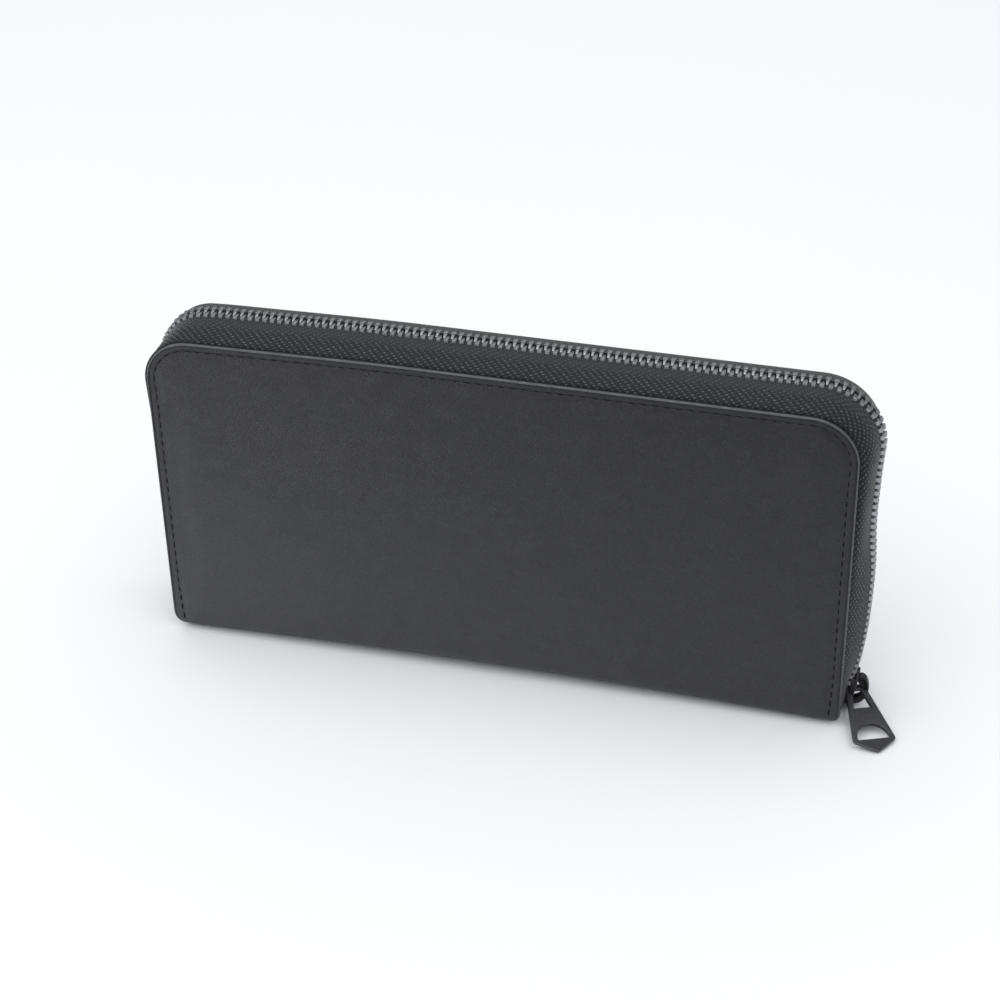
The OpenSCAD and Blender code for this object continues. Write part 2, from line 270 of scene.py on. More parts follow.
class Graph:
    """The node tree of a material or world: a value that is a socket is linked, any other is set."""

    def __init__(self, owner, target="Principled BSDF"):
        owner.use_nodes = True
        self.owner, self.tree = owner, owner.node_tree
        self.target = self.tree.nodes[target]

    def put(self, socket, value):
        if isinstance(value, bpy.types.NodeSocket):
            self.tree.links.new(value, socket)
        else:
            socket.default_value = value

    def node(self, kind, inputs=None, **settings):
        n = self.tree.nodes.new("ShaderNode" + kind)
        for key, value in settings.items():
            setattr(n, key, value)
        for key, value in (inputs or {}).items():
            self.put(n.inputs[key], value)
        return n

    def math(self, operation, a, b=0.0, c=0.0):
        return self.node("Math", {0: a, 1: b, 2: c}, operation=operation).outputs[0]

    def add(self, a, b):
        return self.math("ADD", a, b)

    def mul(self, a, b):
        return self.math("MULTIPLY", a, b)

    def mix(self, factor, low, high):
        """A colour between two others, or past them where the factor is out of 0 to 1."""
        n = self.node("Mix", data_type="RGBA", clamp_factor=False)
        for i, value in ((0, factor), (6, low), (7, high)):
            self.put(n.inputs[i], (*value, 1) if isinstance(value, tuple) else value)
        return n.outputs[2]

    def remap(self, value, low, high, to_low=0.0, to_high=1.0, kind="LINEAR"):
        return self.node("MapRange", {"Value": value, "From Min": low, "From Max": high, "To Min": to_low,
                                      "To Max": to_high}, interpolation_type=kind).outputs[0]

    def noise(self, at, scale, detail=3.0, roughness=0.5):
        return self.node("TexNoise", {"Vector": at, "Scale": scale, "Detail": detail,
                                      "Roughness": roughness}).outputs["Fac"]

    def stretched(self, at, rotation, scale):
        return self.node("Mapping", {"Vector": at, "Rotation": rotation, "Scale": scale}).outputs[0]

    def rest(self):
        """Where a point is when its piece is at rest, in metres."""
        return self.node("Attribute", attribute_name="rest").outputs["Vector"]

    def weave(self):
        return self.node("UVMap", uv_map="Weave").outputs[0]

    def split(self, vector):
        return self.node("SeparateXYZ", {"Vector": vector}).outputs

    def bump(self, height, strength, distance, **under):
        inputs = {"Height": height, "Strength": strength, "Distance": distance, **under}
        return self.node("Bump", inputs).outputs[0]

    def shade(self, colour, roughness, normal=None, **levels):
        """Fills the shader's inputs; a level is named with _ for each space."""
        values = {"Base Color": colour, "Roughness": roughness, **levels}
        if normal:
            values["Normal"] = normal
        for key, value in values.items():
            self.put(self.target.inputs[key.replace("_", " ")], value)
        return self.owner


def leather(name, dark, light, grain=1350.0, roughness=(0.42, 0.56), depth=0.35, painted_lowleft_light=0.0, edge=None):
    """Grained leather: cells with soft creases, pores, faint stretched wrinkles and uneven sheen.
    painted_lowleft_light is how much paler the leather is painted towards its foot, most at the left end, as
    painted light; edge is the colour of the leather's edge paint, made pale enough to be partly a painted
    highlight along the rim, where the piece's first UV is its distance in from the rim."""
    g = Graph(bpy.data.materials.new(name))
    at = g.rest()
    cells = g.node("TexVoronoi", {"Vector": at, "Scale": grain, "Randomness": 1.0},
                   feature="DISTANCE_TO_EDGE").outputs["Distance"]
    crease = g.remap(cells, 0.0, 0.22)
    height = g.add(g.mul(crease, 0.75), g.mul(g.noise(at, grain * 2.6, 2.0), 0.5))
    normal = g.bump(height, depth, 0.0001)
    if edge:
        folds = g.noise(g.stretched(at, (0.0, 0.35, 0.0), (55.0, 30.0, 190.0)), 1.0, 5.0, 0.62)
        normal = g.bump(folds, 0.22, 0.0006, Normal=normal)
    speckle = g.remap(g.noise(at, grain * 0.75, 2.0, 0.6), 0.36, 0.66)
    tint = g.add(g.mul(g.noise(at, 38.0, 4.0), 0.35), g.mul(g.mul(crease, speckle), 0.8))
    # Painted light: the tone is raised towards the foot and most towards the left end, a painted brighter
    # lower left.
    if painted_lowleft_light:
        x, _, z = g.split(at)
        left = g.remap(x, 0.10, -0.10, 0.9, 1.85, "SMOOTHSTEP")
        low = g.remap(z, 0.105, -0.01, 0.0, painted_lowleft_light, "SMOOTHSTEP")
        tint = g.math("MULTIPLY_ADD", left, low, tint)
    colour = g.mix(tint, dark, light)
    if edge:
        # Painted highlight, in part: the band at the rim takes the edge colour, edge paint made pale to stand
        # in for the rim's highlight.
        inset = g.add(g.split(g.weave())[0], g.mul(g.noise(at, 900.0), 0.00012))
        paint_and_highlight = g.remap(g.math("ABSOLUTE", g.add(inset, -0.00016)), 0.0002, 0.00034, 1.0, 0.0)
        colour = g.mix(g.mul(paint_and_highlight, g.add(g.noise(at, 500.0, 4.0), 0.5)), colour, edge)
    rough = g.remap(g.noise(at, 160.0, 4.0), 0.3, 0.7, *roughness)
    return g.shade(colour, rough, normal, Specular_IOR_Level=0.45)


def herringbone(name, ground, thread, row=0.62, period=1.95, flip_at=4.3, fade=(6.2, 2.8), strength=0.7):
    """Woven tape on the piece's own UVs, in metres: rows of short floats, each a third of a period
    further along than the row before, turning back at flip_at millimetres from the teeth. The
    floats lie closer and flatter, so paler and softer, over the fade range."""
    g = Graph(bpy.data.materials.new(name))
    uv = g.weave()
    along, across, _ = g.split(uv)
    along = g.math("MULTIPLY_ADD", g.noise(uv, 700.0, 3.0), 0.0007, along)
    across = g.math("MULTIPLY_ADD", g.noise(uv, 500.0, 2.0), 0.0004, across)
    rows = g.math("DIVIDE", across, row * MM)
    turned = g.math("ABSOLUTE", g.math("SUBTRACT", g.math("FLOOR", rows), float(round(flip_at / row))))
    steps = g.math("MULTIPLY_ADD", turned, -0.36, g.math("DIVIDE", along, period * MM))
    in_float = g.remap(g.math("FRACT", steps), 0.0, 0.46)
    profile_u = g.math("POWER", g.math("SINE", g.mul(in_float, math.pi)), 0.6)
    profile_v = g.math("SINE", g.mul(g.math("FRACT", rows), math.pi))
    float_height = g.mul(profile_u, g.math("POWER", profile_v, 1.4))
    between = g.mul(g.mul(g.noise(uv, 2600.0, 2.0), profile_v), 0.4)
    height = g.add(g.math("MAXIMUM", float_height, between), g.mul(g.noise(uv, 5200.0, 2.0), 0.25))
    worn = g.remap(g.noise(uv, 900.0, 4.0), 0.35, 0.68, 0.3, 1.35)
    tone = g.mul(g.math("POWER", float_height, 1.5), worn)
    near = g.remap(across, fade[0] * MM, fade[1] * MM, kind="SMOOTHSTEP")
    soft = g.add(g.mul(tone, 0.3), g.math("MULTIPLY_ADD", between, 0.7, 0.06))
    tone = g.add(g.mul(tone, g.math("SUBTRACT", 1.0, near)), g.mul(soft, near))
    colour = g.mix(g.math("MINIMUM", tone, 1.2), ground, thread)
    return g.shade(colour, 0.72, g.bump(height, strength, 0.00022), Sheen_Weight=0.2, Sheen_Roughness=0.4,
                   Specular_IOR_Level=0.3)


def metal(name, dark, light, metallic=1.0, roughness=(0.28, 0.45), edge_wear_and_highlight=0.6):
    """Cast and tumbled metal: cloudy tone, fine scratches and lighter convex edges, partly wear and partly
    painted highlight.
    """
    g = Graph(bpy.data.materials.new(name))
    at = g.rest()
    lines = g.noise(g.stretched(at, (0.3, 0.5, 0.2), (260.0, 9000.0, 260.0)), 1.0, 2.0)
    # Convex edges painted lighter: partly wear, partly painted highlight.
    worn = g.remap(g.node("NewGeometry").outputs["Pointiness"], 0.51, 0.58)
    tone = g.add(g.mul(g.noise(at, 900.0, 4.0), 0.55), g.mul(worn, edge_wear_and_highlight))
    colour = g.mix(g.math("MINIMUM", tone, max(1.0, edge_wear_and_highlight)), dark, light)
    return g.shade(colour, g.remap(lines, 0.3, 0.7, *roughness), g.bump(lines, 0.12, 0.00003),
                   Metallic=metallic)


def sewing_thread(name, dark, light):
    """Twisted sewing thread."""
    g = Graph(bpy.data.materials.new(name))
    twist = g.node("TexWave", {"Vector": g.rest(), "Scale": 900.0, "Distortion": 1.5},
                   bands_direction="DIAGONAL").outputs["Fac"]
    return g.shade(g.mix(twist, dark, light), 0.75, g.bump(twist, 0.5, 0.00008), Specular_IOR_Level=0.15)


def fabric(name, dark, light, pitch=0.4):
    """Plain woven lining: crossing threads with slubs."""
    g = Graph(bpy.data.materials.new(name))
    at = g.rest()
    x, _, z = g.split(at)
    weft, warp = (g.math("SINE", g.mul(value, math.pi / (pitch * MM))) for value in (x, z))
    weave = g.math("MULTIPLY_ADD", g.mul(weft, warp), 0.5, 0.5)
    tone = g.math("MULTIPLY_ADD", weave, 0.55, g.mul(g.noise(at, 700.0, 4.0), 0.45))
    return g.shade(g.mix(tone, dark, light), 0.85, g.bump(tone, 0.5, 0.00012), Sheen_Weight=0.2)


def board(name, dark, light):
    """Pressed fibre board or foam, for the CAD layers inside the covers."""
    g = Graph(bpy.data.materials.new(name))
    specks = g.noise(g.node("TexCoord").outputs["Object"], 2400.0, 5.0, 0.7)
    return g.shade(g.mix(specks, dark, light), 0.9, g.bump(specks, 0.5, 0.0001))


# Painted light: the outer leather is painted paler towards its foot and its left end.
OUTER_LEATHER = leather("outer_leather_black", (0.0005, 0.0005, 0.0009), (0.0135, 0.0137, 0.017), depth=0.8,
                        # The edge colour is edge paint made pale, partly a painted highlight along the rim.
                        painted_lowleft_light=1.15, edge=(0.078, 0.079, 0.084))
TAB_LEATHER = leather("tab_leather_black", (0.003, 0.003, 0.0038), (0.018, 0.0183, 0.0212), depth=0.8)
INNER_LEATHER = leather("inner_leather_black", (0.013, 0.013, 0.014), (0.022, 0.022, 0.023),
                        grain=1900.0, roughness=(0.5, 0.65), depth=0.3)
TAPE = herringbone("zip_tape_weave", (0.009, 0.0097, 0.0120), (0.098, 0.102, 0.116))
COIN_TAPE = herringbone("coin_tape_weave", (0.011, 0.0115, 0.013), (0.11, 0.113, 0.123), flip_at=60.0)
TEETH = metal("gunmetal_teeth", (0.13, 0.13, 0.14), (0.41, 0.41, 0.43), roughness=(0.32, 0.5))
SLIDER = metal("black_slider_metal", (0.005, 0.005, 0.0055), (0.02, 0.02, 0.021), metallic=0.2,
               roughness=(0.24, 0.36))
# The pull's much lighter edges are mostly painted highlight.
PULL = metal("satin_black_pull", (0.010, 0.010, 0.0115), (0.058, 0.058, 0.064), metallic=0.4,
             roughness=(0.38, 0.52), edge_wear_and_highlight=1.8)
THREAD = sewing_thread("black_thread", (0.0015, 0.0015, 0.0018), (0.005, 0.005, 0.0055))
LINING = fabric("lining_cloth", (0.012, 0.012, 0.014), (0.035, 0.035, 0.04))
GUSSET = fabric("gusset_cloth", (0.010, 0.010, 0.012), (0.03, 0.03, 0.034), pitch=0.5)
FOAM = board("cover_foam", (0.16, 0.16, 0.155), (0.27, 0.27, 0.26))
BOARD = board("stiffener_board", (0.014, 0.013, 0.013), (0.036, 0.034, 0.033))


# ---------------------------------------------------------------- cover leather

RIM_STEPS = [0, 0.06, 0.16, 0.3, 0.44, 0.56, 0.68, 0.82, 1.0, 1.3, 1.65, 1.85, 2.0, 2.15, 2.3, 2.45, 2.65,
             2.9, 3.2, 3.5, 3.8, 4.2, 4.8, 5.6, 6.8, 8.5, 10.5, RIM_RADIUS]
RIM_RELIEF = ([0, 0.06, 0.16, 0.3, 0.44, 0.56, 0.68, 0.82, 1.0, 1.3, 1.7, 1.95, 2.15, 2.35, 2.65],
              [-0.36, -0.14, 0.04, 0.13, 0.1, -0.06, -0.16, -0.1, 0.0, 0.05, 0.05, -0.02, -0.14, -0.04, 0.1])
BOW = 2.3
FOOT_RADIUS = 4.0
CORNER_TUCK = {-1: 6.0, 1: 4.5}
SEAM_INSET = 2.15
CROWN = 1.7
EDGE_UV = (1.1, 0)


def bow(x, height):
    """How far the leather's foot is drawn up between its two ends."""
    return BOW * (1 - (np.asarray(x) / RIM_HALF) ** 2) * (1 - ramp(height, 0, 46))


def seam_lean(z):
    """How far the seam drifts inward from the rim as it comes down to the foot."""
    return 0.6 * (1 - ramp(z, 0, 17)) + 0.4 * (1 - ramp(z, 72, 88))


def relief(x, z, inset):
    """Height of the leather over the plane of the cover: painted edge, groove, seam and padding."""
    inset = inset - seam_lean(z) * ramp(inset, 0.7, 3.2) * (1 - ramp(inset, 5, 12))
    edge = smooth_through(inset, *RIM_RELIEF)
    padding = 0.1 + 0.45 * ramp(inset, 2.5, 4.2) + 0.36 * ramp(inset, 3.5, 11)
    crown = CROWN * (1 - (x / RIM_HALF) ** 4) * np.sin(math.pi * np.clip(z / RIM_TOP, 0, 1)) ** 1.3
    creases = 0.05 * np.sin(x * 0.21 + 1.3 * np.sin(z * 0.06)) * np.sin(z * 0.13 + 0.8) * ramp(inset, 3, 12)
    out = np.where(inset < 2.65, edge, padding) + crown * ramp(inset, 2.0, 11) + creases
    return out * ramp(z, -1.0, 8.0) + 0.0


def tuck(x, height):
    """The foot's corners are rounded, more at the left end than at the right one."""
    r = np.where(x < 0, CORNER_TUCK[-1], CORNER_TUCK[1])
    low = np.clip(1 - np.maximum(height, 0) / r, 0, 1)
    share = np.clip((abs(x) - RIM_HALF + 20) / 20, 0, 1) ** 2
    return x - np.sign(x) * share * r * (1 - np.sqrt(1 - low ** 2))


def cover_rows():
    """Section of the leather from the cover's face round the foot to the middle of the spine:
    height, outer Y and Z, outward direction, inner Y and Z."""
    rows = []
    for z in np.r_[np.linspace(RIM_TOP - RIM_RADIUS, 12, 40), np.linspace(10.5, 4, 6)]:
        rows.append((z, COVER_Y, z, 1.0, 0.0, LEATHER_IN, max(z, 4.2)))
    inner_turn = [(9.8, 4.15), (9.75, 4.0), (9.6, 3.8), (9.4, 3.6), (9.1, 3.45), (8.8, 3.4), (8.4, 3.4)]
    for k, (iy, iz) in enumerate(inner_turn):
        a = math.radians(90 * (k + 1) / len(inner_turn))
        z = FOOT_RADIUS * (1 - math.sin(a))
        rows.append((z, COVER_Y - FOOT_RADIUS * (1 - math.cos(a)), z, math.cos(a), -math.sin(a), iy, iz))
    for share in np.linspace(0, 1, 7)[1:]:
        rows.append((0.0, 6.9 * (1 - share), 0.0, 0.0, -1.0, 8.4 * (1 - share), SPINE_TOP))
    return np.array(rows)


def cover_points(x, inset, row):
    """Outer and inner point of the front leather at a column and a row of its section."""
    height, y, z, out_y, out_z, inner_y, inner_z = np.moveaxis(row, -1, 0)
    h = relief(x, height, inset)
    outer = np.stack([tuck(x, z), -(y + out_y * h), z + out_z * h + bow(x, z)], -1)
    inner = np.stack([tuck(x, z) * (1 - 0.15 / RIM_HALF), -inner_y, inner_z + 0 * x], -1)
    return outer, inner


def front_leather():
    shape = Shape()
    insets = np.array(RIM_STEPS)
    middle = np.linspace(RIM_RADIUS - RIM_HALF, RIM_HALF - RIM_RADIUS, 110)
    rows = cover_rows()
    columns = np.r_[insets - RIM_HALF, middle[1:-1], (RIM_HALF - insets)[::-1]]
    x, row_index = np.meshgrid(columns, np.arange(len(rows)))
    row = rows[row_index]
    outer, inner = cover_points(x, RIM_HALF - abs(x), row)
    edge_uv = np.stack([RIM_HALF - abs(x), row[..., 2]], -1)
    shape.patch(outer, edge_uv).patch(inner, edge_uv)
    for c in (0, -1):
        shape.patch(np.stack([outer[:, c], inner[:, c]]), np.stack([edge_uv[:, c], edge_uv[:, c] - EDGE_UV]))
    shape.patch(np.stack([outer[-1], inner[-1]]), np.stack([edge_uv[-1] + (20, 0)] * 2))

    def face_and_back(x, z, inset):
        face = np.stack([x, -(COVER_Y + relief(x, z, inset)), z], -1)
        back = np.stack([x, np.full_like(x, -LEATHER_IN), z], -1)
        uv = np.stack([inset, z], -1)
        shape.patch(face, uv).patch(back, uv)
        shape.patch(np.stack([face[0], back[0]]), np.stack([uv[0], uv[0] - EDGE_UV]))

    x, inset = np.meshgrid(middle, insets)
    face_and_back(x, RIM_TOP - inset, inset)
    for side in (-1, 1):
        angle, inset = np.meshgrid(np.linspace(0, math.pi / 2, 15), insets)
        r = RIM_RADIUS - inset
        x = side * (RIM_HALF - RIM_RADIUS + r * np.cos(angle))
        face_and_back(x, RIM_TOP - RIM_RADIUS + r * np.sin(angle), inset)
    return shape


def seam_stitches():
    """Thread along the groove in from the rim, down one side, over the top and down the other."""
    half, top, r = RIM_HALF - SEAM_INSET, RIM_TOP - SEAM_INSET, RIM_RADIUS - SEAM_INSET
    side = top - r - 3.0
    corner = r * math.pi / 2
    total = 2 * side + 2 * corner + 2 * (half - r)
    places = []
    step = total / round(total / 3.0)
    for k in range(round(total / step)):
        s = (k + 0.5) * step
        flip, t = (1, s) if s <= total / 2 else (-1, total - s)
        if t < side:
            x, z, dx, dz = -half, 3.0 + t, 0.0, 1.0
        elif t < side + corner:
            a = math.pi - (t - side) / r
            x, z = -half + r + r * math.cos(a), top - r + r * math.sin(a)
            dx, dz = math.sin(a), -math.cos(a)
        else:
            x, z, dx, dz = -half + r + t - side - corner, top, 1.0, 0.0
        lean = float(seam_lean(np.array(z))) if t < side else 0.0
        y = COVER_Y + float(relief(np.array(flip * x), np.array(z), np.array(SEAM_INSET + 0.6 * lean)))
        x = float(tuck(np.array(x + 0.8 * lean), np.array(z)))
        drop = FOOT_RADIUS - math.sqrt(FOOT_RADIUS ** 2 - (FOOT_RADIUS - z) ** 2) if z < FOOT_RADIUS else 0.0
        places.append(placement((flip * x, drop - y, z), (flip * dx, 0, dz), (0, -1, 0)))
    return Shape().copies(stitch_template(1.95, 0.5, 0.1), places)


# ---------------------------------------------------------------- main zip

SWELL = ([0, 10, 22, 34, 46, 58, 66, 71, 78.5], [0, 0.08, 0.4, 1.6, 2.1, 2.0, 1.3, 0.45, 0.1])
TEETH_RISE, TAPE_RISE = 0.5, 0.85
TUCKED = ([-38, -26, -12.5, 0, 20, 50, 66, 74, 78.5], [0, -0.5, -4.0, -6.0, -6.0, -5.0, -3.7, -2.5, -1.8])


def zip_line(s):
    """Point, outward and forward direction in X and Z, and swell of the zip, a distance s along it
    from the middle of the top; down the left end it is folded in between the covers."""
    away, side = abs(s), (1 if s >= 0 else -1)
    if away <= ARC_X:
        x, z, out, go, swell = away, ARC_Z + ZIP_RADIUS, (0.0, 1.0), (1.0, 0.0), 0.0
    elif away <= ARC_END:
        a = (away - ARC_X) / ZIP_RADIUS
        x, z = ARC_X + ZIP_RADIUS * math.sin(a), ARC_Z + ZIP_RADIUS * math.cos(a)
        out, go, swell = (math.sin(a), math.cos(a)), (math.cos(a), -math.sin(a)), 0.0
    else:
        t = away - ARC_END
        swell = float(smooth_through(t, *SWELL))
        out, go = (math.cos(LEAN), -math.sin(LEAN)), (-math.sin(LEAN), -math.cos(LEAN))
        x, z = RUN_X + go[0] * t, RUN_Z + go[1] * t
    if side < 0:
        swell = float(smooth_through(away - ARC_END, *TUCKED))
    return side * x, z, (side * out[0], out[1]), (go[0], side * go[1]), swell


def tape_section():
    """The tape's section: distance out from the zip's line, distance from the wallet's middle."""
    edge, thick = -2.85, 0.5
    flange = [(edge - 5.2, LEATHER_IN - 0.05), (edge - 2.5, LEATHER_IN - 0.05)]
    curve = [(edge + 2.75 * math.sin(t), 2.4 + 7.35 * math.cos(t)) for t in np.linspace(0, math.pi / 2, 15)]
    outer = flange + curve + [(0.1, 1.9), (0.3, 1.5), (0.3, 1.25)]
    inner_curve = [(edge + (2.75 - thick) * math.sin(t), 2.4 + (7.35 - thick) * math.cos(t))
                   for t in np.linspace(math.pi / 2, 0, 15)]
    inner = [(-0.52, 1.25), (-0.54, 1.5), (-0.37, 1.9)] + inner_curve
    inner += [(edge - 2.5, LEATHER_IN - 0.05 - thick), (edge - 5.2, LEATHER_IN - 0.05 - thick)]
    return np.array(outer), np.array(inner)


def tape_stations():
    side = np.linspace(0, SIDE_RUN + 3.3, 46)[1:]
    arc = np.linspace(0, ARC_END - ARC_X, 22)
    half = np.r_[np.linspace(0, ARC_X, 60), ARC_X + arc[1:], ARC_END + side]
    return np.r_[-half[:0:-1], half]


def front_tape():
    outer, inner = tape_section()
    section = np.r_[outer, inner]
    across = np.r_[0, np.cumsum(np.linalg.norm(np.diff(outer, axis=0), axis=1))]
    back = np.r_[0, np.cumsum(np.linalg.norm(np.diff(inner, axis=0), axis=1))]
    v = across[-1] - np.r_[across, across[-1] - back * across[-1] / back[-1]]
    share = np.clip((LEATHER_IN - 0.05 - section[:, 1]) / 7.35, 0, 1)
    points, uvs = [], []
    for s in tape_stations():
        x, z, out, _, swell = zip_line(s)
        t = abs(s) - ARC_END
        crest = TAPE_RISE * float(1 - ramp(t, -14, 8) + 0.6 * ramp(t, 24, 36) * (1 - ramp(t, 58, 72)))
        r = section[:, 0] + swell * share ** (1.3 if swell > 0 else 0.5) + crest * share ** 1.3
        points.append(np.c_[x + out[0] * r, -section[:, 1], z + out[1] * r])
        uvs.append(np.c_[np.full(len(v), s), v])
    points, uvs = np.array(points), np.array(uvs)
    closed = np.concatenate([points, points[:, :1]], 1)
    shape = Shape().patch(closed, np.concatenate([uvs, uvs[:, :1]], 1))
    n = len(section)
    for k in (0, -1):
        shape.add(points[k], [tuple(range(n))], uvs[k])
    return shape


def tapered_box(near, far, bevel):
    """A box along Y whose two ends have their own size, each given as (y, half width, low, high)."""
    bm = bmesh.new()
    bmesh.ops.create_cube(bm, size=2)
    for v in bm.verts:
        y, half, low, high = far if v.co.y > 0 else near
        v.co = Vector((half * v.co.x, y, high if v.co.z > 0 else low))
    bmesh.ops.bevel(bm, geom=bm.edges[:], offset=bevel, segments=2, profile=0.5, affect="EDGES")
    bm.verts.index_update()
    return bm_template(bm)


def tooth_template():
    """One tooth of the front tape, X along the zip, Y to the middle, Z outwards: jaws round the
    tape's cord and a tapering head that locks between its neighbours."""
    jaws = prism([(-0.54, -2.3), (0.54, -2.3), (0.6, -2.05), (0.6, -1.1), (0.5, -0.88),
                  (-0.5, -0.88), (-0.6, -1.1), (-0.6, -2.05)], -0.95, 1.12, 0.15)
    head = tapered_box((-1.3, 0.5, -0.85, 0.95), (0.66, 0.27, -0.5, 0.5), 0.1)
    shape = Shape().add(*jaws).add(*head)
    return np.concatenate(shape.verts), shape.faces


def front_teeth(shift):
    template = tooth_template()
    high = ARC_END + SIDE_RUN - 1.3
    places = []
    for i in range(math.ceil(-high / PITCH - shift), math.floor(high / PITCH - shift) + 1):
        s = (i + shift) * PITCH
        x, z, out, go, swell = zip_line(s)
        raised = swell + TEETH_RISE * float(1 - ramp(abs(s) - ARC_END, -14, 8))
        places.append(placement((x + out[0] * raised, 0, z + out[1] * raised), (go[0], 0, go[1]),
                                (out[0], 0, out[1])))
    return Shape().copies(template, places)


# ---------------------------------------------------------------- slider and pull

def run_matrix():
    """From the slider's own axes to the wallet's: X outwards, Y to the back, Z down the side run."""
    m = np.eye(4)
    m[:3, 0] = (math.cos(LEAN), 0, -math.sin(LEAN))
    m[:3, 2] = (-math.sin(LEAN), 0, -math.cos(LEAN))
    m[:3, 1] = (0, 1, 0)
    m[:3, 3] = (RUN_X, 0, RUN_Z)
    return m


def slider_shape():
    """Two plates with turned-in side walls and a post, rounded as a casting is. It rides the chain
    a little tilted, its foot towards the wallet."""
    middle = Matrix.Translation((0, 0, SLIDER_AT + SLIDER_LEN / 2))
    run = run_matrix() @ np.array(middle @ Matrix.Rotation(SLIDER_TILT, 4, "Y") @ middle.inverted())
    outline = [(-3.0, 0.15), (-2.2, -0.1), (2.2, -0.1), (3.0, 0.15), (3.35, 0.8), (4.1, 5.2), (4.15, 8.0),
               (3.5, 8.9), (1.9, 10.0), (0.9, 10.15), (-0.9, 10.15), (-1.9, 10.0), (-3.5, 8.9),
               (-4.15, 8.0), (-4.1, 5.2), (-3.35, 0.8)]
    to_plate = np.eye(4)
    to_plate[:3, :3] = [[0, 0, 1], [1, 0, 0], [0, 1, 0]]
    down = np.eye(4)
    down[2, 3] = SLIDER_AT
    shape = Shape()

    def cast(outline, low, high, bevel, segments=2):
        shape.add(*moved(prism(outline, low, high, bevel, segments), run @ down @ to_plate))

    for low, high in ((1.3, 2.15), (-2.15, -1.3)):
        cast(outline, low, high, 0.26, 3)
    cast([(-0.35, 6.4), (0.35, 6.4), (1.5, 8.6), (1.4, 9.8), (-1.4, 9.8), (-1.5, 8.6)], -1.45, 1.45, 0.1)
    for face in (-1, 1):
        for level in (-1, 1):
            wall = [(face * 2.65, 0.1), (face * 3.3, 0.1), (face * 3.95, 5.6), (face * 3.2, 5.6)]
            low, high = sorted((level * 0.75, level * 1.5))
            cast(wall, low, high, 0.12)
    for low in (SLIDER_AT + 0.4, SLIDER_AT + 8.2):
        shape.add(*moved(rounded_box((1.9, -0.95, low), (2.75, 0.95, low + 1.5), 0.25), run))
    return shape


def bridge_shape():
    """The crescent arch over the slider: a thick horn that tapers to its upper foot."""
    outline = smooth_line([(2.5, -4.5), (3.6, -4.8), (4.7, -4.1), (5.4, -2.7), (5.75, -0.9), (5.65, 1.0),
                           (5.05, 2.8), (3.9, 4.3), (2.6, 4.95), (1.25, 5.0), (1.25, 3.0), (2.0, 2.8),
                           (3.1, 2.2), (3.85, 1.1), (4.0, 0.0), (3.7, -0.9), (3.05, -1.8), (2.5, -2.9)], 3)
    to_arch = np.eye(4)
    to_arch[:3, :3] = [[1, 0, 0], [0, 0, 1], [0, 1, 0]]
    to_arch[2, 3] = SLIDER_AT + SLIDER_LEN / 2
    return Shape().add(*moved(prism(outline, -0.95, 0.95, 0.42, 4), run_matrix() @ to_arch))


def curve_plate(name, rings, thick, bevel):
    """A flat plate with holes from closed outlines in X and Y, its rims rounded."""
    curve = bpy.data.curves.new(name, "CURVE")
    curve.dimensions = "2D"
    curve.fill_mode = "BOTH"
    curve.extrude = (thick / 2 - bevel) * MM
    curve.bevel_depth = bevel * MM
    curve.bevel_resolution = 2
    for ring in rings:
        spline = curve.splines.new("POLY")
        spline.points.add(len(ring) - 1)
        for point, (x, y) in zip(spline.points, ring):
            point.co = (x * MM, y * MM, 0, 1)
        spline.use_cyclic_u = True
    holder = bpy.data.objects.new(name + "_outline", curve)
    bpy.context.scene.collection.objects.link(holder)
    dg = bpy.context.evaluated_depsgraph_get()
    mesh = bpy.data.meshes.new_from_object(holder.evaluated_get(dg))
    bpy.data.objects.remove(holder)
    bpy.data.curves.remove(curve)
    bm = bmesh.new()
    bm.from_mesh(mesh)
    bpy.data.meshes.remove(mesh)
    bmesh.ops.remove_doubles(bm, verts=bm.verts, dist=1e-6)
    bmesh.ops.recalc_face_normals(bm, faces=bm.faces)
    for v in bm.verts:
        v.co /= MM
    bm.verts.index_update()
    return bm_template(bm)


def rounded_ring(corners, steps=6):
    """A closed outline from corners (x, y, radius), each turned with its own radius."""
    out = []
    for i, (x, y, r) in enumerate(corners):
        here = np.array((x, y), float)
        to_last = np.array(corners[i - 1][:2], float) - here
        to_next = np.array(corners[(i + 1) % len(corners)][:2], float) - here
        to_last /= np.linalg.norm(to_last)
        to_next /= np.linalg.norm(to_next)
        reach = r / math.tan(math.acos(np.dot(to_last, to_next)) / 2)
        a, b = here + to_last * reach, here + to_next * reach
        for k in range(steps + 1):
            u = k / steps
            out.append(tuple((1 - u) ** 2 * a + 2 * u * (1 - u) * here + u * u * b))
    return out


def pull_matrix():
    """From the pull's own axes to the wallet's: X across, -Y from the pivot to the tip, Z its face."""
    turn = (Matrix.Rotation(PULL_TURN, 4, "Z") @ Matrix.Rotation(PULL_SLOPE, 4, "X")
            @ Matrix.Rotation(PULL_ROLL, 4, "Y"))
    return np.array(Matrix.Translation(PIVOT) @ turn)


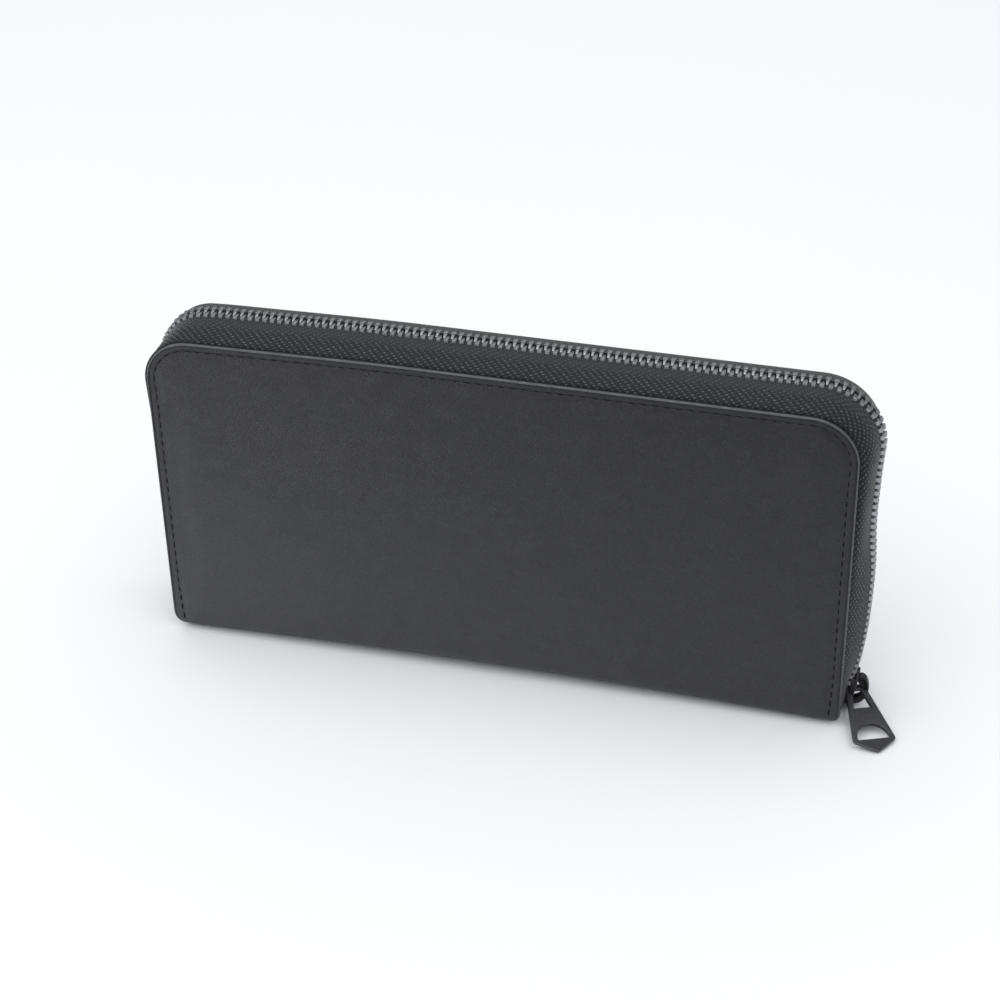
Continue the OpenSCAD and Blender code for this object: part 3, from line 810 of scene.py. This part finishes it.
def pull_shape():
    """A flared tab with a window at its bar, a half-moon window and a thinned V tip."""
    def half_at(length):
        return 2.56 + 3.08 * length / 17
    outline = rounded_ring([(-2.4, 0.75, 1.5), (2.4, 0.75, 1.5), (half_at(16.9), -16.9, 0.9), (0, -20.4, 1.1),
                            (-half_at(16.9), -16.9, 0.9)])
    hole = rounded_ring([(-half_at(0.2) + 1.15, -0.2, 0.25), (half_at(0.2) - 1.15, -0.2, 0.25),
                         (2.85, -6.86, 0.5), (-2.85, -6.86, 0.5)])
    arch = [(4.75 * math.cos(a), -16.35 + 4.75 * math.sin(a)) for a in np.linspace(0.06, math.pi - 0.06, 25)]
    moon = [(4.6, -16.9)] + arch + [(-4.6, -16.9)]
    verts, faces = curve_plate("pull_tab_metal", [outline, hole, moon], 1.45, 0.32)
    tip = ramp(-verts[:, 1] - abs(verts[:, 0]) * -0.64, 17.3, 20.6)
    verts[:, 2] *= 1 - 0.45 * tip
    bar = ramp(verts[:, 1], -1.2, 0)
    verts[:, 1] += bar * (0.5 * (1 - (verts[:, 0] / 2.6) ** 2) - 0.2)
    verts[:, 2] *= 1 - 0.3 * bar
    return Shape().add(*moved((verts, faces), pull_matrix()))


# ---------------------------------------------------------------- inside

def panel(half, foot, top, corner, y_out, y_in, lift=None, rows=31):
    """A soft flat panel with rounded top corners; lift(x, z) raises its inner-facing side."""
    turn = np.sin(np.linspace(0, 1.45, 9)[1:])
    z = np.r_[np.linspace(foot, top - corner, rows), top - corner + corner * turn, top]
    u, z = np.meshgrid(np.linspace(-1, 1, 61), z)
    over = np.clip((z - top + corner) / corner, 0, 1)
    x = u * (half - corner * (1 - np.sqrt(1 - np.minimum(over, 0.995) ** 2)))
    raised = np.zeros_like(x) if lift is None else lift(x, z)
    outer = np.stack([x, np.full_like(x, -y_out), z], -1)
    inner = np.stack([x, -(y_in - raised), z], -1)
    return Shape().thick(outer, inner)


def card_lift(top):
    """A turned hem along the top edge, a sewn line down the middle and cards' worth of slack."""
    def lift(x, z):
        hem = 0.09 * ramp(z, top - 3.2, top - 2.9) * (1 - ramp(z, top - 0.35, top + 0.1))
        seam = -0.08 * np.exp(-(x / 0.5) ** 2)
        slack = 0.05 * np.sin(np.pi * np.clip(abs(x) / 82, 0, 1)) ** 2
        return hem + seam + slack
    return lift


def lining_lift(x, z):
    return 0.04 * np.sin(x * 0.11) * np.sin(z * 0.09 + 1)


def sew_line(shape, start, end, spacing=2.6):
    """Adds stitches along a straight line on the inside of a cover, in millimetres."""
    start, end = np.array(start, float), np.array(end, float)
    n = max(1, int(np.linalg.norm(end - start) / spacing))
    places = [placement(start + (end - start) * (k + 0.5) / n, end - start, (0, 1, 0)) for k in range(n)]
    shape.copies(stitch_template(1.7, 0.3, 0.1), places)


def gusset_shape(side):
    """A side wall pleated like a bellows between the coin pocket and a cover."""
    x_out, x_in, y0, pleat, thick = 85.6, 76.0, 2.95, 0.95, 0.3
    foot, tall = 7, 62
    path = [(x_in if i % 2 else x_out, y0 + i * pleat) for i in range(5)]
    fine = [(xa + (xb - xa) * u, ya + (yb - ya) * (u * u * (3 - 2 * u)))
            for (xa, ya), (xb, yb) in zip(path, path[1:]) for u in np.linspace(0, 1, 9)[:-1]]
    fine = np.array(fine + path[-1:])
    z = np.linspace(foot, foot + tall, 25)
    sag = 0.12 * np.sin((z - foot) / tall * math.pi * 3)
    outer, inner = (np.array([np.c_[side * (fine[:, 0] + s), -(fine[:, 1] + out), np.full(len(fine), h)]
                              for s, h in zip(sag, z)]) for out in (thick, 0.0))
    return Shape().thick(outer, inner)


def coin_teeth_shape(shift):
    """Small moulded teeth of the coin zip, standing on the tape's turned-in edge."""
    tooth = Shape().add(*rounded_box((-0.42, -1.95, -0.68), (0.42, -0.45, 0.72), 0.14, 1))
    tooth.add(*rounded_box((-0.3, -0.55, -0.5), (0.3, 0.4, 0.55), 0.12, 1))
    template = (np.concatenate(tooth.verts), tooth.faces)
    places = []
    for i in range(90):
        m = np.eye(4)
        m[:3, 3] = (-78 + (i + shift) * 1.6 + 0.35, 0, COIN_ZIP_Z)
        places.append(m)
    return Shape().copies(template, places)


def coin_tape_shape():
    """The coin zip's tape stands on the wall and turns in under the teeth."""
    line = [(COIN_Y + 0.5, COIN_TOP - 5), (COIN_Y + 0.5, COIN_TOP), (COIN_Y + 0.45, 79.6),
            (COIN_Y + 0.3, 80.7), (COIN_Y - 0.1, 81.15), (COIN_Y - 0.6, 81.3), (COIN_Y - 1.05, 81.3)]
    fine = smooth_line(line, 4)
    normal = np.gradient(fine, axis=0)
    normal = np.c_[normal[:, 1], -normal[:, 0]] / np.linalg.norm(normal, axis=1)[:, None]
    x = np.linspace(-COIN_HALF + 1, COIN_HALF - 1, 90)
    across = np.r_[0, np.cumsum(np.linalg.norm(np.diff(fine, axis=0), axis=1))]
    outer, inner = (np.array([np.c_[np.full(len(yz), a), -yz[:, 0], yz[:, 1]] for a in x])
                    for yz in (fine + normal * 0.2, fine - normal * 0.2))
    return Shape().thick(outer, inner, np.array([np.c_[np.full(len(fine), a), across] for a in x]))


def smooth_line(points, steps):
    """More points along a polyline, rounded at its corners."""
    points = np.array(points, float)
    out = []
    for i in range(len(points) - 1):
        p0, p1, p2, p3 = (points[min(max(j, 0), len(points) - 1)] for j in (i - 1, i, i + 1, i + 2))
        for k in range(steps):
            u = k / steps
            out.append(0.5 * (2 * p1 + (p2 - p0) * u + (2 * p0 - 5 * p1 + 4 * p2 - p3) * u ** 2
                              + (3 * p1 - p0 - 3 * p2 + p3) * u ** 3))
    out.append(points[-1])
    return np.array(out)


# ---------------------------------------------------------------- pieces

def settle(shape):
    """The shell sags a little towards its top left corner."""
    for points in shape.verts:
        points[:, 2] -= 1.2 * ramp(-points[:, 0], 22, 96) * ramp(points[:, 2], 50, 90)
    return shape


def place(name, shape, material, body, stands_for=(), slot=None, **options):
    """Makes the piece, fixes it to its body and hides the CAD parts it stands for."""
    obj = finish_mesh(name, shape, material, **options)
    if body:
        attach(obj, body)
    if stands_for:
        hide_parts(*stands_for)
    return obj


def both_sides(make):
    """The front shape and its mirrored back."""
    shape = settle(make())
    return (("front", -1, shape), ("back", 1, shape.mirrored()))


for name, sign, shape in both_sides(front_leather):
    cover = place(f"{name}_cover_leather", shape, OUTER_LEATHER, None,
                  [f"{name}_leather"] + (["spine_leather"] if sign < 0 else []), "outer_leather")
    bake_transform(cover)

for name, sign, shape in both_sides(seam_stitches):
    place(f"{name}_cover_stitches", shape, THREAD, f"{name}_half", [f"{name}_seam_thread"], "thread",
          sharp=80)

for name, sign, shape in both_sides(front_tape):
    tape = place(f"{name}_zip_tape", shape, TAPE, None,
                 [f"{name}_tape_{part}" for part in ("top", "left", "right")], "zip_tape", sharp=70)
    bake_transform(tape)

for name, sign, shift in (("front", -1, 0.25), ("back", 1, 0.75)):
    shape = settle(front_teeth(shift))
    teeth = place(f"{name}_zip_teeth", shape if sign < 0 else shape.mirrored(), TEETH, None,
                  [f"{name}_teeth_{part}" for part in ("top", "left", "right")], "teeth_metal",
                  merge=0, sharp=35)
    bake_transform(teeth)

place("slider_casting", slider_shape(), SLIDER, "zip_slider", ["slider_body"], "slider_metal", merge=0,
      sharp=35)
place("slider_arch", bridge_shape(), SLIDER, "zip_slider", ["slider_bridge"], "slider_metal", merge=0)
place("pull_tab_metal", pull_shape(), PULL, "zip_pull", ["pull_tab"], "slider_metal", merge=0, sharp=30)

CARD_TOPS = [74 - 11 * i for i in range(4)]
CARD_THICK = 0.3
for name, sign in (("front", -1), ("back", 1)):
    def side(shape):
        return shape if sign < 0 else shape.mirrored()
    place(f"{name}_lining_cloth", side(panel(89, 6, 90.6, 8.5, 8.8, 8.4, lining_lift)), LINING,
          f"{name}_half", [f"{name}_lining"], "pocket_fabric")
    stitches = Shape()
    for i, top in enumerate(CARD_TOPS):
        outer = 8.4 - i * CARD_THICK
        pocket = side(panel(82, 6, top, 1.6, outer, outer - CARD_THICK, card_lift(top)))
        place(f"{name}_card_slot_{i + 1}", pocket, INNER_LEATHER, f"{name}_half",
              [f"{name}_card_pocket_{i + 1}"], "inner_leather")
        face = outer - CARD_THICK - 0.09
        sew_line(stitches, (-80.5, -face, top - 1.7), (80.5, -face, top - 1.7))
        low = top - 10.2 if i < 3 else 8
        sew_line(stitches, (0, -face + 0.1, low), (0, -face + 0.1, top - 3.6))
    place(f"{name}_card_slot_stitches", side(stitches), THREAD, f"{name}_half", (), "thread", merge=0,
          sharp=80)

    wall = panel(COIN_HALF, POCKET_FOOT, COIN_TOP, 1.0, COIN_Y + 0.5, COIN_Y, rows=25)
    place(f"{name}_coin_pocket_wall", side(wall), GUSSET, "spine", [f"coin_wall_{name}"], "pocket_fabric")
    place(f"{name}_coin_zip_tape", side(coin_tape_shape()), COIN_TAPE, "spine", [f"coin_tape_{name}"],
          "zip_tape", sharp=70)
    place(f"{name}_coin_zip_teeth", side(coin_teeth_shape(0 if sign < 0 else 0.5)), TEETH, "spine",
          [f"coin_teeth_{name}"], "teeth_metal", merge=0, sharp=35)
    for end, label in ((-1, "left"), (1, "right")):
        bellows = place(f"{name}_{label}_bellows", side(gusset_shape(end)), GUSSET, None,
                        [f"gusset_{name}_{label}"], "gusset_fabric", sharp=80)
        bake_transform(bellows)


def boxes(bevel, segments, *corners):
    """Rounded boxes in one shape, each from its low and its high corner."""
    shape = Shape()
    for low, high in corners:
        shape.add(*rounded_box(low, high, bevel, segments))
    return shape


ends = boxes(0.2, 2, ((-86.05, -COIN_Y, FLOOR_TOP), (-85.35, COIN_Y, COIN_TOP)),
             ((85.35, -COIN_Y, FLOOR_TOP), (86.05, COIN_Y, COIN_TOP)))
place("coin_pocket_ends", ends, GUSSET, "spine", ["coin_pocket_sides"], "pocket_fabric", merge=0)
bottom = boxes(0.15, 2, ((-86, -COIN_Y, POCKET_FOOT), (86, COIN_Y, FLOOR_TOP)))
place("coin_pocket_bottom", bottom, GUSSET, "spine", ["coin_pocket_floor"], "pocket_fabric", merge=0)
stops = boxes(0.35, 3, *(((low, -1.9, COIN_ZIP_Z - 0.9), (high, 1.9, COIN_ZIP_Z + 0.9))
                         for low, high in ((-81, -79.2), (73.6, 75))))
place("coin_zip_end_stops", stops, TEETH, "spine", ["coin_zip_stops"], "teeth_metal", merge=0, sharp=60)
tabs = boxes(0.6, 3, *(((x - 2.1, -3.2, SPINE_TOP), (x + 2.1, 3.2, 5.6)) for x in (-88.4, 88.4)))
place("zip_foot_leather_tabs", tabs, TAB_LEATHER, "spine", ["zip_foot_tabs"], "outer_leather", merge=0,
      sharp=70)


def coin_slider_shape():
    """A pointed plate over the teeth, a narrower one under them and the post between."""
    x, z = COIN_SLIDER_X, COIN_ZIP_Z
    half = [(0, 1.9), (0.5, 2.4), (5, 2.8), (7.2, 2.5), (8, 1.6)]
    plate = [(x + a, -b) for a, b in half] + [(x + a, b) for a, b in half[::-1]]
    under = [(x + a, b * 0.57) for a, b in ((0, -2.8), (8, -2.8), (8, 2.8), (0, 2.8))]
    shape = Shape().add(*prism(plate, z + 1.0, z + 1.8, 0.25, 3))
    shape.add(*prism(under, z - 2.0, z - 1.2, 0.25, 3))
    return shape.add(*rounded_box((x + 3.4, -0.6, z - 1.4), (x + 6.4, 0.6, z + 1.2), 0.2))


place("coin_slider_casting", coin_slider_shape(), SLIDER, "coin_slider", ["coin_slider_body"], "slider_metal",
      merge=0, sharp=35)
arch = np.radians(np.linspace(4, 176, 25))
arch_path = np.c_[COIN_PIVOT[0] + 2.75 * np.cos(arch), 0 * arch, COIN_ZIP_Z + 1.5 + 2.75 * np.sin(arch)]
place("coin_slider_arch", Shape().add(*tube(arch_path, 0.5, 12)), SLIDER, "coin_slider",
      ["coin_slider_bridge"], "slider_metal", merge=0)

outline = rounded_ring([(0.6, -1.9, 0.5), (0.6, 1.9, 0.5), (-13, 3, 1.2), (-15, 1.6, 1.2), (-15, -1.6, 1.2),
                        (-13, -3, 1.2)])
hole = rounded_ring([(-0.6, -1.1, 0.3), (-0.6, 1.1, 0.3), (-4.6, 1.4, 0.4), (-4.6, -1.4, 0.4)])
plate = curve_plate("coin_pull_metal", [outline, hole], 0.9, 0.2)
coin_pull = Shape().add(*moved(plate, np.array(Matrix.Translation(COIN_PIVOT))))
place("coin_pull_metal", coin_pull, PULL, "coin_pull", ["coin_pull_tab"], "slider_metal", merge=0, sharp=30)

for name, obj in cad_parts.items():
    if not obj.hide_render:
        obj.data.materials.clear()
        obj.data.materials.append(FOAM if "foam" in name else BOARD)


# ---------------------------------------------------------------- camera, floor and light

scene = bpy.context.scene
scene.view_settings.view_transform = "Standard"

camera_data = bpy.data.cameras.new("camera")
camera_data.lens = 85.82
camera_data.sensor_width = 36
camera = bpy.data.objects.new("camera", camera_data)
camera.location = (0.139543, -0.500684, 0.404806)
camera.rotation_euler = [math.radians(a) for a in (55.722, 1.032, 14.981)]
scene.collection.objects.link(camera)
scene.camera = camera


def floor_material():
    g = Graph(bpy.data.materials.new("pale_tabletop"))
    tone = g.noise(g.node("TexCoord").outputs["Object"], 6.0, 3.0)
    colour = g.mix(tone, (0.90, 0.905, 0.925), (0.915, 0.92, 0.94))
    return g.shade(colour, 0.7, Specular_IOR_Level=0.2)


floor_mesh = bpy.data.meshes.new("tabletop")
reach = 4.0
floor_mesh.from_pydata([(-reach, -reach, 0), (reach, -reach, 0), (reach, reach, 0), (-reach, reach, 0)], [],
                       [(0, 1, 2, 3)])
floor_mesh.materials.append(floor_material())
tabletop = bpy.data.objects.new("tabletop", floor_mesh)
scene.collection.objects.link(tabletop)
tabletop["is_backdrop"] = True


def area_light(name, location, target, size, power, only=None):
    """A softbox aimed at a target; with only, a flag keeps its light off everything else."""
    data = bpy.data.lights.new(name, "AREA")
    data.shape = "RECTANGLE"
    data.size, data.size_y = size
    data.energy = power
    light = bpy.data.objects.new(name, data)
    light.location = location
    aim = Vector(target) - Vector(location)
    light.rotation_euler = aim.to_track_quat("-Z", "Y").to_euler()
    scene.collection.objects.link(light)
    if only:
        lit = bpy.data.collections.new(name + "_lit")
        for obj in only:
            lit.objects.link(obj)
        light.light_linking.receiver_collection = lit


area_light("overhead_softbox", (-0.1, -0.45, 1.6), (0, 0, 0), (2.2, 2.2), 22)
area_light("left_softbox", (-0.32, -0.33, 0.05), (0, 0, 0.04), (0.25, 0.12), 0.6,
           only=[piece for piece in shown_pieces() if "teeth" not in piece.name])


def studio_world():
    """White overhead, dimmer towards the horizon, as in a tented studio."""
    g = Graph(bpy.data.worlds.new("studio"), "Background")
    height = g.split(g.node("TexCoord").outputs["Generated"])[2]
    sky = g.mix(g.remap(height, 0.0, 0.75), (0.10, 0.103, 0.108), (0.75, 0.765, 0.79))
    g.put(g.target.inputs["Color"], sky)
    g.put(g.target.inputs["Strength"], 1.0)
    return g.owner


scene.world = studio_world()

low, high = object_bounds()
